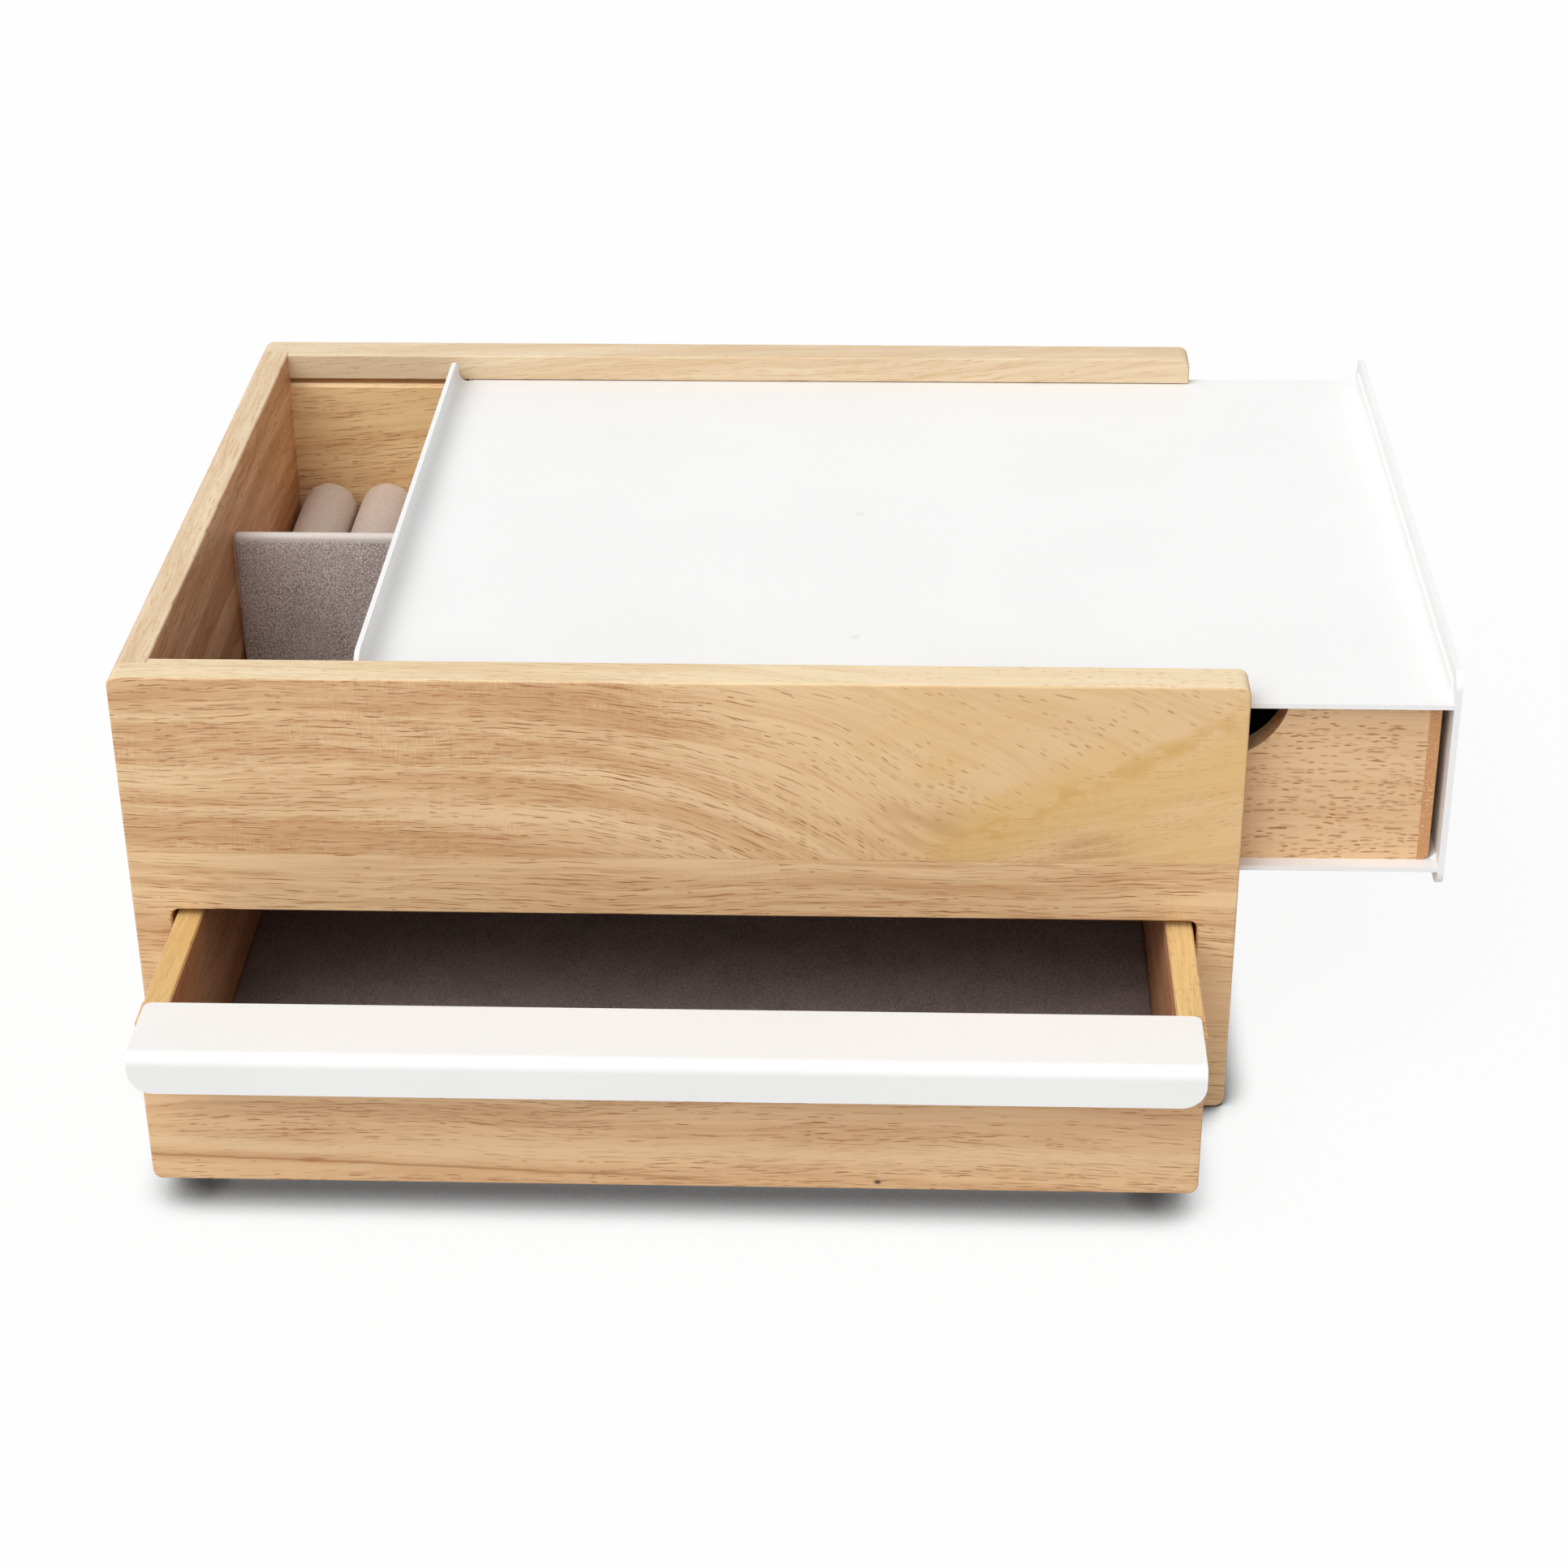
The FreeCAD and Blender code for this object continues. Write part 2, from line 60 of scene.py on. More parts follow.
# Sky, and lamps: name, strength, angle and the way to the light
SKY_WHITE = (1, 1, 1, 1)
WORLD_STRENGTH = 0.56
KEY_LIGHT = ("key", 1.46, math.radians(50), Vector((-0.38, -0.40, 0.83)))
FRONT_LIGHT = ("front", 0.62, math.radians(60), Vector((-0.35, -0.85, 0.52)))

# Floor
FLOOR_HALF = 6.0
FLOOR_WHITE = (0.85, 0.85, 0.85, 1)
FLOOR_BOUNCE = (0.6, 0.6, 0.6, 1)
FLOOR_SHADOW_SHARE = 0.08
CONTACT_REACH = 13 * MM
CONTACT_SPAN = (0.4, 0.9)
CONTACT_SAMPLES = 16

# Wood colours
PALE_WOOD = (0.87, 0.62, 0.35, 1)
DEEP_WOOD = (0.63, 0.355, 0.168, 1)
PORE_BROWN = (0.38, 0.145, 0.045, 1)
# Pores on upward faces, lighter as part of the painted highlight there
EDGE_PORE_AND_SHEEN = (0.62, 0.39, 0.185, 1)
END_WOOD = (0.58, 0.28, 0.115, 1)
END_SPECK = (0.82, 0.58, 0.34, 1)
GOLD_WOOD = (0.74, 0.46, 0.15, 1)
GLEAM_GOLD = (0.68, 0.40, 0.13, 1)
SMUDGE_BROWN = (0.54, 0.30, 0.12, 1)
KNOT_BLACK = (0.05, 0.02, 0.01, 1)

# Pale and deep colours of the boards
PLAIN = (PALE_WOOD, DEEP_WOOD)
# Upward faces: paler edge grain with a painted highlight washed in, as in the next pair and the golden one
EDGE = ((0.87, 0.705, 0.46, 1), (0.74, 0.535, 0.295, 1))
SAND_GRAIN_AND_SHEEN = ((0.80, 0.64, 0.435, 1), (0.68, 0.485, 0.285, 1))
# Inner faces of the side walls: painted shade, redder and darker than the outer faces
RED_PAINTED_SHADE = ((0.86, 0.485, 0.255, 1), (0.58, 0.255, 0.10, 1))
# Inner face of the back board: painted light, brighter than its outer face
YELLOW_PAINTED_LIGHT = ((0.95, 0.70, 0.37, 1), (0.78, 0.49, 0.22, 1))
# Upward faces of the drawer boards: paler edge grain with a painted highlight
GOLDEN_GRAIN_AND_SHEEN = ((0.86, 0.62, 0.29, 1), (0.70, 0.45, 0.17, 1))
# Inner faces of the drawer boards: painted shade, redder and darker than the outer faces
BROWN_PAINTED_SHADE = ((0.74, 0.40, 0.22, 1), (0.56, 0.26, 0.12, 1))
PINK = ((0.80, 0.54, 0.30, 1), (0.64, 0.37, 0.18, 1))
BIRCH = ((0.74, 0.57, 0.37, 1), (0.64, 0.45, 0.26, 1))

# Grain of every board, along and across it
LONG_WAVE = ((0.011, 0.03), 7.0)
SHORT_WAVE = ((0.09, 0.25), 0.9)
BANDS_PER_MM = (0.006, 0.1)
BAND_EDGE = (0.36, 0.64)
STRIPES_PER_MM = (0.018, 0.55)
FIBRES_PER_MM = (0.07, 2.6)
SILK_PER_MM = (0.02, 0.07)
SILK_EDGE = (0.48, 0.62)
TICK_WAVE = ((1.9, 0.28), 1.0)
BAND_DEPTH = 0.5
STRIPE_DEPTH = 0.7
FIBRE_DEPTH = 0.45
DEPTH_SPAN = (0.35, 1.2)
FIBRE_SPAN = (0.25, 0.75)
LACQUER_ROUGHNESS = (0.38, 0.52)
LACQUER_SPECULAR = 0.45
FIBRE_HEIGHT = 0.25
PORE_DEPTH = 0.06 * MM
PORE_RELIEF = 0.6
BOARD_STRIDE = 370.0

# Pores of every board
PORE_ROW = 1.5
SHORT_PORE_ROW = 1.1
SHORT_PORE_SHARE = 0.45
SPECK_ROW = 0.9
SPECK_LENGTH = 2.6
PORE_SHORTENING = 2.3
PORE_EDGE = (0.5, 1.0)
PORE_STRENGTH = (0.4, 1.0)
PORE_COVER = 0.95
BREAK_SPAN = (0.3, 0.6)
BREAK_STRENGTH = (0.35, 1.0)
CROWDS_PER_MM = (0.012, 0.07)
CROWD_EDGE = (0.35, 0.65)
CROWD_SHARE = (0.2, 1.2)
CROWD_IN_BANDS = 0.5

# Sawn ends
END_DOTS_PER_MM = (1.9, 1.9, 1.9)
END_DOT_ROUGHNESS = 0.6
END_RINGS_PER_MM = (0.05, 0.05, 0.3)
END_RING_SHARE = 0.4
END_SPECK_EDGE = (0.72, 1.0)
END_FACING = (0.6, 0.9)

# Faces of a board: the inner one looks to the middle of the box and gets its own colours, painted light and
# shade; upward ones get a painted highlight
INNER_SPAN = (-30.0, 0.0)
TOP_FACING = (0.5, 0.95)
FRONT_FACING = (-0.9, -0.4)
PALE_FADE = 1.0
SPOT_EDGE = (0.25, 1.0)

# Figure of the front board, in millimetres of its face
SEAM_HEIGHT = 68.0
SEAM_EDGE = (0.05, 0.35)
SEAM_SHARE = 0.3
SWEEP_SPAN = (-60.0, 60.0)
SWEEP_TOP = 118.0
SWEEP_LEVEL = 12.0
SWEEP_DEPTH = 15.0
CURL_WAVE = ((0.016, 0.012), 6.0)
CURL_SPAN = (10.0, 80.0)
GLEAM_FOOT = (61.0, 70.0)
GLEAM_SLOPE = 0.53
GLEAM_WAVE = ((0.05, 0.05), 10.0)
GLEAM_EDGE = (0.3, 4.5)
GLEAM_SPAN = (48.0, 75.0)
GLEAM_SHARE = 0.85
FEATHER_START = 40.0
FEATHER_FALL = 0.3
FEATHER_RISE = 0.4
FEATHER_BEND = 12.0
FEATHER_EASE = 20.0
FAINT_SPAN = (5.0, 75.0)
FAINT = {"Pale": (0.815, 0.57, 0.305, 1), "Deep": (0.70, 0.44, 0.20, 1), "Pore": (0.54, 0.29, 0.115, 1)}
GOLD_PER_MM = (0.018, 0.05)
GOLD_EDGE = (0.4, 0.65)
GOLD_SHARE = 0.5
PATCHES_PER_MM = (0.12, 0.16)
PATCH_EDGE = (0.35, 0.6)
SMUDGES = (((54.0, 78.0), (19.0, 10.0)), ((96.0, 71.0), (13.0, 8.0)))
SMUDGES_PER_MM = (0.06, 0.3)
SMUDGE_EDGE = (0.3, 0.65)
SMUDGE_SHARE = 0.5
CLOUDY = 3.0

# Grain of the front board's upper strip: from and to which X it changes, and its values there
UPPER_GRAIN = {
    "Banding": (-20.0, 70.0, 0.8, 0.3),
    "Pore_Width": (20.0, 80.0, 0.33, 0.4),
    "Dashes": (0.0, 60.0, 0.95, 0.1),
    "Dash_Length": (10.0, 70.0, 13.0, 8.0),
    "Specks": (-20.0, 60.0, 0.15, 0.4),
    "Silk": (-30.0, 40.0, 0.4, 0.1),
}
LOWER_GRAIN = dict(Banding=0.5, Dashes=0.85, Dash_Length=19.0, Pore_Width=0.33, Specks=0.05)
LOWER_START = 310.0

# Figure of the drawer's front, in millimetres of its face
DRAWER_FRONT_GRAIN = dict(
    Pale=(0.83, 0.55, 0.30, 1), Deep=(0.64, 0.355, 0.17, 1),
    Banding=0.55, Dashes=0.8, Dash_Length=13.0, Specks=0.1, Silk=0.1,
)
DRAWER_FRONT_START = 905.0
STRIPE_HEIGHT = 18.0
STRIPE_WAVE = ((0.02, 0.05), 5.0)
STRIPE_EDGE = (0.0, 4.0)
STRIPE_SHARE = 0.65
STREAK_START = (-117.0, 15.0)
STREAK_SLOPE = -0.036
STREAK_WAVE = ((0.06, 0.1), 1.2)
STREAK_FADE = (-15.0, 10.0)
STREAK_EDGE = (0.1, 0.55)
STREAK_SHARE = 0.6
HALO_EDGE = (0.0, 2.6)
HALO_SHARE = 0.35
STREAK_EYE = ((-82.6, 14.0), (4.5, 1.0))
EYE_SHARE = 0.75
PIN_KNOT = ((47.0, 10.1), (1.2, 0.8))
KNOT_SHARE = 0.95

# Grain of the other boards
BACK_GRAIN = dict(slant=-0.1, pale_above=106.5, Dashes=0.85, Dash_Length=15.0, Pore_Width=0.3, Banding=0.6)
SIDE_GRAIN = dict(Dashes=0.75, Dash_Length=14.0, Pore_Width=0.42)
TRAY_GRAIN = dict(Dashes=0.48, Dash_Length=6.0, Pore_Width=0.56, Specks=0.12, Banding=0.4)
DRAWER_GRAIN = dict(Dashes=0.5, Pore_Width=0.5)
PLY_GRAIN = dict(Dashes=0.15, Specks=0.1)

# White powder coat, and the weld marks under it on the lid
COAT_WHITE = (0.9, 0.9, 0.896, 1)
COAT_SHADE = (0.875, 0.875, 0.871, 1)
PEEL_PER_MM = (0.75, 0.75, 0.75)
CAST_PER_MM = (0.02, 0.02, 0.02)
PEEL_SHARE = 0.25
COAT_EDGE = (0.35, 0.7)
CAST_SPAN = (0.3, 0.7)
COAT_ROUGHNESS = (0.34, 0.44)
COAT_SPECULAR = 0.28
PEEL_DEPTH = 0.02 * MM
PEEL_RELIEF = 0.3
WELD_MARKS = ((40.0, 5.0), (40.0, -65.0))
WELD_REACH = (1.9, 1.9)
WELD_GREY = (0.72, 0.72, 0.7, 1)
WELD_SHARE = 0.5

# Velvet and felt
VELVET = dict(
    dark=(0.26, 0.213, 0.197, 1), light=(0.90, 0.775, 0.73, 1), brushing=0.1, sheen=0.3, bump=0.08 * MM,
)
# The rolls' velvet: a paler copy of the divider's, painted light for their upward, lit faces
ROLL_VELVET_PAINTED_LIGHT = dict(
    dark=(0.65, 0.54, 0.46, 1), light=(0.90, 0.76, 0.67, 1), brushing=0.2, sheen=0.3, bump=0.1 * MM,
)
FELT = dict(
    dark=(0.15, 0.115, 0.11, 1), light=(0.34, 0.275, 0.262, 1), brushing=0.2, sheen=0.15, bump=0.1 * MM,
)
SPECKLE_PER_MM = (3.3, 3.3, 3.3)
BRUSHED_PER_MM = (0.09, 0.09, 0.09)
NAP_EDGE = (0.3, 0.7)
# Painted highlight and sheen just below the velvet's crest: its colour, its share, and where it starts and
# fades
PAINTED_SHEEN_PALE = (0.80, 0.73, 0.69, 1)
RIM_SHARE = 0.88
RIM_BAND = 0.9
RIM_FADE = 2.6
PILE_ROUGHNESS = 0.95
PILE_SPECULAR = 0.1
PILE_RELIEF = 0.7
SHEEN_ROUGHNESS = 0.45
SHEEN_TINT = (0.95, 0.9, 0.86, 1)

# Shapes of the soft pieces
SOFT_SEGMENTS = 4
FELT_SEGMENTS = 2
FELT_EDGE = 0.4
FELT_STEP = 6 * MM
FELT_FEWEST = 6
FELT_WAVE = 0.12 * MM
FELT_WAVE_LENGTH = 17 * MM
WRAP_EDGE = 0.38
WRAP_STEP = 3 * MM
WRAP_ROWS = 12
WRAP_WAVE = 0.1 * MM
WRAP_WAVE_LENGTH = 9 * MM
ROLL_COUNT = 8
ROLL_SIDES = 40
ROLL_END = 0.12
ROLL_TUCK = 0.3 * MM
ROLL_DENT = 0.12 * MM
ROLL_DENT_LENGTH = 11 * MM

# Cloth simulation of a roll's cover, at ten times its size
SIMULATION_SCALE = 10.0
SIMULATION_FRAMES = 20
COVER_VOXEL = 1.5 * MM
COVER_PRESSURE = 4.0
COVER_QUALITY = 6
COVER_SWELL = 0.3 * MM


# Shader nodes

def new_node(tree, kind, **settings):
    made = tree.nodes.new("ShaderNode" + kind)
    for name, setting in settings.items():
        setattr(made, name, setting)
    return made


def feed(tree, socket, given):
    """Join a socket to another one, or set its value."""
    if isinstance(given, bpy.types.NodeSocket):
        tree.links.new(given, socket)
    else:
        socket.default_value = given


def feed_all(tree, made, given):
    """Feed a node's first sockets, and give back what it puts out."""
    for socket, item in zip(made.inputs, given):
        feed(tree, socket, item)
    return made.outputs[0]


def calculate(tree, operation, *given):
    return feed_all(tree, new_node(tree, "Math", operation=operation), given)


def product(tree, *given):
    result = given[0]
    for item in given[1:]:
        result = calculate(tree, "MULTIPLY", result, item)
    return result


def vectors(tree, operation, *given):
    return feed_all(tree, new_node(tree, "VectorMath", operation=operation), given)


def length_of(tree, vector):
    made = new_node(tree, "VectorMath", operation="LENGTH")
    feed(tree, made.inputs[0], vector)
    return made.outputs["Value"]


def on_plane(tree, first, second):
    """Two numbers as a flat vector."""
    return feed_all(tree, new_node(tree, "CombineXYZ"), (first, second))


def parts_of(tree, vector):
    made = new_node(tree, "SeparateXYZ")
    feed(tree, made.inputs[0], vector)
    return tuple(made.outputs)


def span(tree, amount, low, high, to_low=0.0, to_high=1.0):
    """A value eased from one span to another, and held at its ends."""
    made = new_node(tree, "MapRange", interpolation_type="SMOOTHSTEP")
    return feed_all(tree, made, (amount, low, high, to_low, to_high))


def fade(tree, amount, low, high, most=1.0):
    """A share that falls from most to nothing over a span."""
    return span(tree, amount, low, high, most, 0.0)


def mix_colours(tree, share, first, second):
    made = new_node(tree, "Mix", data_type="RGBA")
    feed(tree, made.inputs[0], share)
    feed(tree, made.inputs[6], first)
    feed(tree, made.inputs[7], second)
    return made.outputs[2]


def mix_values(tree, share, first, second):
    made = new_node(tree, "Mix", data_type="FLOAT")
    feed(tree, made.inputs[0], share)
    feed(tree, made.inputs[2], first)
    feed(tree, made.inputs[3], second)
    return made.outputs[0]


def clouds(tree, place, per_mm, detail=2.0, roughness=0.5):
    """A soft noise from 0 to 1, flat where per_mm has two numbers."""
    flat = len(per_mm) == 2
    made = new_node(tree, "TexNoise", noise_dimensions="2D" if flat else "3D")
    scaled = vectors(tree, "MULTIPLY", place, per_mm + (0.0,) * (3 - len(per_mm)))
    feed(tree, made.inputs["Vector"], scaled)
    made.inputs["Scale"].default_value = 1.0
    made.inputs["Detail"].default_value = detail
    made.inputs["Roughness"].default_value = roughness
    return made.outputs[0]


def wobble(tree, place, per_mm, reach):
    """A shift to either side, reach wide in all."""
    return calculate(tree, "MULTIPLY_ADD", clouds(tree, place, per_mm), reach, -reach / 2)


def new_group(name, inputs, outputs):
    """A shader node group; inputs are (name, type, default), outputs (name, type)."""
    tree = bpy.data.node_groups.new(name, "ShaderNodeTree")
    for label, kind, default in inputs:
        made = tree.interface.new_socket(label, in_out="INPUT", socket_type="NodeSocket" + kind)
        if default is not None:
            made.default_value = default
    for label, kind in outputs:
        tree.interface.new_socket(label, in_out="OUTPUT", socket_type="NodeSocket" + kind)
    return tree, tree.nodes.new("NodeGroupInput").outputs, tree.nodes.new("NodeGroupOutput").inputs


def use_group(tree, group, **given):
    made = new_node(tree, "Group", node_tree=group)
    for label, item in given.items():
        feed(tree, made.inputs[label.replace("_", " ")], item)
    return made.outputs


# Shared finishes

def pores(tree, flow, width, length, row, share):
    """Dark dashes along the grain, one in each cell that is kept, in rows a given width apart."""
    per_mm = on_plane(tree, calculate(tree, "DIVIDE", 1.0, length), 1.0 / row)
    place = vectors(tree, "MULTIPLY", flow, per_mm)
    cells = new_node(tree, "TexVoronoi", voronoi_dimensions="2D")
    feed(tree, cells.inputs["Vector"], place)
    cells.inputs["Scale"].default_value = 1.0
    away = vectors(tree, "SUBTRACT", place, cells.outputs["Position"])
    thin = calculate(tree, "DIVIDE", 2.0 * row, width)
    away = vectors(tree, "MULTIPLY", away, on_plane(tree, PORE_SHORTENING, thin))
    body = fade(tree, length_of(tree, away), *PORE_EDGE)
    chance = new_node(tree, "SeparateColor")
    feed(tree, chance.inputs[0], cells.outputs["Color"])
    kept = calculate(tree, "LESS_THAN", chance.outputs[0], share)
    return product(tree, kept, body, span(tree, chance.outputs[1], 0.0, 1.0, *PORE_STRENGTH))


def make_board_grain():
    """Rubberwood on a plane whose X runs along the grain and Y across it, in millimetres."""
    tree, given, out = new_group(
        "board_grain",
        [
            ("Vector", "Vector", None),
            ("Pale", "Color", PALE_WOOD),
            ("Deep", "Color", DEEP_WOOD),
            ("Pore", "Color", PORE_BROWN),
            ("Banding", "Float", 1.0),
            ("Dashes", "Float", 0.5),
            ("Dash Length", "Float", 9.0),
            ("Pore Width", "Float", 0.36),
            ("Specks", "Float", 0.2),
            ("Silk", "Float", 0.2),
        ],
        [("Colour", "Color"), ("Roughness", "Float"), ("Height", "Float")],
    )
    place = given["Vector"]
    flow = place
    for wave in (LONG_WAVE, SHORT_WAVE):
        flow = vectors(tree, "ADD", flow, on_plane(tree, 0.0, wobble(tree, place, *wave)))
    bands = span(tree, clouds(tree, flow, BANDS_PER_MM, CLOUDY), *BAND_EDGE)
    stripes = clouds(tree, flow, STRIPES_PER_MM)
    fibres = clouds(tree, flow, FIBRES_PER_MM)

    crowding = span(tree, clouds(tree, flow, CROWDS_PER_MM), *CROWD_EDGE, *CROWD_SHARE)
    crowding = calculate(tree, "MULTIPLY_ADD", bands, CROWD_IN_BANDS, crowding)
    dashes = product(tree, given["Dashes"], crowding)
    specks = product(tree, given["Specks"], crowding)
    length = given["Dash Length"]
    width = given["Pore Width"]
    dark = pores(tree, flow, width, length, PORE_ROW, dashes)
    short = product(tree, length, SHORT_PORE_SHARE)
    dark = calculate(tree, "MAXIMUM", dark, pores(tree, flow, width, short, SHORT_PORE_ROW, dashes))
    dark = calculate(tree, "MAXIMUM", dark, pores(tree, flow, width, SPECK_LENGTH, SPECK_ROW, specks))
    dark = product(tree, dark, span(tree, fibres, *BREAK_SPAN, *BREAK_STRENGTH))

    silky = span(tree, clouds(tree, place, SILK_PER_MM), *SILK_EDGE)
    silk = product(tree, silky, wobble(tree, place, *TICK_WAVE), given["Silk"])
    depth = product(tree, bands, given["Banding"], BAND_DEPTH)
    depth = calculate(tree, "MULTIPLY_ADD", stripes, STRIPE_DEPTH, depth)
    depth = calculate(tree, "MULTIPLY_ADD", fibres, FIBRE_DEPTH, depth)
    depth = calculate(tree, "ADD", depth, silk)
    colour = mix_colours(tree, span(tree, depth, *DEPTH_SPAN), given["Pale"], given["Deep"])
    colour = mix_colours(tree, product(tree, dark, PORE_COVER), colour, given["Pore"])
    feed(tree, out["Colour"], colour)
    feed(tree, out["Roughness"], span(tree, fibres, *FIBRE_SPAN, *LACQUER_ROUGHNESS))
    sunk = product(tree, dark, -1.0)
    feed(tree, out["Height"], calculate(tree, "MULTIPLY_ADD", fibres, FIBRE_HEIGHT, sunk))
    return tree


def make_end_grain():
    """The sawn end of a board: close brown pores with pale specks."""
    tree, given, out = new_group(
        "end_grain",
        [("Vector", "Vector", None), ("Brown", "Color", END_WOOD), ("Speck", "Color", END_SPECK)],
        [("Colour", "Color")],
    )
    dots = clouds(tree, given["Vector"], END_DOTS_PER_MM, roughness=END_DOT_ROUGHNESS)
    rings = clouds(tree, given["Vector"], END_RINGS_PER_MM)
    share = span(tree, calculate(tree, "MULTIPLY_ADD", rings, END_RING_SHARE, dots), *END_SPECK_EDGE)
    feed(tree, out["Colour"], mix_colours(tree, share, given["Brown"], given["Speck"]))
    return tree


def make_nap():
    """Short pile: a fine salt-and-pepper speckle with brushed lighter and darker patches."""
    tree, given, out = new_group(
        "nap",
        [
            ("Vector", "Vector", None),
            ("Dark", "Color", FELT["dark"]),
            ("Light", "Color", FELT["light"]),
            ("Brushing", "Float", FELT["brushing"]),
        ],
        [("Colour", "Color"), ("Height", "Float")],
    )
    place = given["Vector"]
    speckle = span(tree, clouds(tree, place, SPECKLE_PER_MM, 1.0), *NAP_EDGE)
    patches = span(tree, clouds(tree, place, BRUSHED_PER_MM, CLOUDY), *NAP_EDGE, -0.5, 0.5)
    share = calculate(tree, "MULTIPLY_ADD", patches, given["Brushing"], speckle)
    feed(tree, out["Colour"], mix_colours(tree, share, given["Dark"], given["Light"]))
    feed(tree, out["Height"], speckle)
    return tree


def make_powder_coat():
    """White powder coat: a soft orange peel and a barely uneven white."""
    tree, given, out = new_group(
        "powder_coat",
        [("Vector", "Vector", None), ("White", "Color", COAT_WHITE), ("Shade", "Color", COAT_SHADE)],
        [("Colour", "Color"), ("Roughness", "Float"), ("Height", "Float")],
    )
    peel = clouds(tree, given["Vector"], PEEL_PER_MM)
    cast = clouds(tree, given["Vector"], CAST_PER_MM)
    uneven = calculate(tree, "MULTIPLY_ADD", peel, PEEL_SHARE, product(tree, cast, 1.0 - PEEL_SHARE))
    shade = span(tree, uneven, *COAT_EDGE)
    feed(tree, out["Colour"], mix_colours(tree, shade, given["White"], given["Shade"]))
    feed(tree, out["Roughness"], span(tree, cast, *CAST_SPAN, *COAT_ROUGHNESS))
    feed(tree, out["Height"], peel)
    return tree


BOARD_GRAIN = make_board_grain()
END_GRAIN = make_end_grain()
NAP = make_nap()
POWDER_COAT = make_powder_coat()


# Parts of a material

def empty_material(name):
    material = bpy.data.materials.new(name)
    material.use_nodes = True
    material.node_tree.nodes.clear()
    return material, material.node_tree


def new_material(name):
    """A material with nothing but its shader: the material, its node tree and the shader."""
    material, tree = empty_material(name)
    shader = new_node(tree, "BsdfPrincipled")
    tree.links.new(shader.outputs[0], new_node(tree, "OutputMaterial").inputs["Surface"])
    return material, tree, shader


def millimetres(tree):
    """Where a point is on the object, in millimetres."""
    source = new_node(tree, "TexCoord")
    place = new_node(tree, "VectorMath", operation="SCALE")
    feed(tree, place.inputs[0], source.outputs["Object"])
    place.inputs["Scale"].default_value = 1 / MM
    return place.outputs[0]


def facing_of(tree):
    """The way a face looks, as three numbers."""
    return parts_of(tree, new_node(tree, "TexCoord").outputs["Normal"])


def rough_surface(tree, shader, height, distance, strength):
    """A bump of a given depth under the shader."""
    bump = new_node(tree, "Bump")
    bump.inputs["Strength"].default_value = strength
    bump.inputs["Distance"].default_value = distance
    feed(tree, bump.inputs["Height"], height)
    tree.links.new(bump.outputs[0], shader.inputs["Normal"])


def spot(tree, face, centre, reach):
    """A soft-edged patch on a flat face."""
    away = vectors(tree, "SUBTRACT", face, centre + (0.0,))
    away = vectors(tree, "DIVIDE", away, reach + (1.0,))
    return fade(tree, length_of(tree, away), *SPOT_EDGE)


def beside_line(tree, x, z, start, slope, shift):
    """How far a point is above or below a sloping line, with a shift added."""
    rise = calculate(tree, "MULTIPLY_ADD", x, slope, start[1] - slope * start[0])
    return calculate(tree, "ABSOLUTE", calculate(tree, "ADD", calculate(tree, "SUBTRACT", z, rise), shift))


# Wood

def lacquer(tree, shader, axis, place, look):
    """Finish a board whose grain runs along an axis: brown sawn ends and a satin lacquer."""
    colour, roughness, height = look
    ends = span(tree, calculate(tree, "ABSOLUTE", facing_of(tree)[axis]), *END_FACING)
    colour = mix_colours(tree, ends, colour, use_group(tree, END_GRAIN, Vector=place)["Colour"])
    feed(tree, shader.inputs["Base Color"], colour)
    feed(tree, shader.inputs["Roughness"], roughness)
    shader.inputs["Specular IOR Level"].default_value = LACQUER_SPECULAR
    rough_surface(tree, shader, height, PORE_DEPTH, PORE_RELIEF)


def timber(tree, axes, outside, inner_shading_colours, edges, pale_above=None):
    """The colours of a board's outer face, of its inner face and of its upper edge. The inner face's colours
    are painted light and shade; the upper edge's are its paler grain with a painted highlight washed in, and
    its pores are light.
    """
    facing = facing_of(tree)
    outward = calculate(tree, "MULTIPLY_ADD", axes[1], facing[1], product(tree, axes[0], facing[0]))
    # Inner faces: painted shade on the side walls and drawer boards, painted light on the back board
    inner = fade(tree, outward, *INNER_SPAN)
    # Upward faces, and with pale_above also the inner face above that height, take the edge colours: paler
    # grain with a painted highlight
    top_grain_and_sheen = span(tree, facing[2], *TOP_FACING)
    if pale_above is not None:
        raised = span(tree, axes[2], pale_above, pale_above + PALE_FADE)
        top_grain_and_sheen = product(tree, raised, calculate(tree, "MAXIMUM", inner, top_grain_and_sheen))
    colours = {}
    for i, name in enumerate(("Pale", "Deep")):
        colours[name] = mix_colours(tree, top_grain_and_sheen, mix_colours(tree, inner, outside[i], inner_shading_colours[i]), edges[i])
    colours["Pore"] = mix_colours(tree, top_grain_and_sheen, PORE_BROWN, EDGE_PORE_AND_SHEEN)
    return colours


def wood(name, axis, seed, colours, slant=0.0, pale_above=None, **grain):
    """A board with its grain along X (0) or Y (1); the seed picks its stretch of timber."""
    material, tree, shader = new_material(name)
    place = millimetres(tree)
    axes = parts_of(tree, place)
    along = calculate(tree, "ADD", axes[axis], BOARD_STRIDE * seed)
    across = calculate(tree, "ADD", axes[2], axes[1 - axis])
    across = calculate(tree, "MULTIPLY_ADD", axes[axis], slant, across)
    grain.update(timber(tree, axes, *colours, pale_above))
    look = use_group(tree, BOARD_GRAIN, Vector=on_plane(tree, along, across), **grain)
    lacquer(tree, shader, axis, place, tuple(look))
    return material


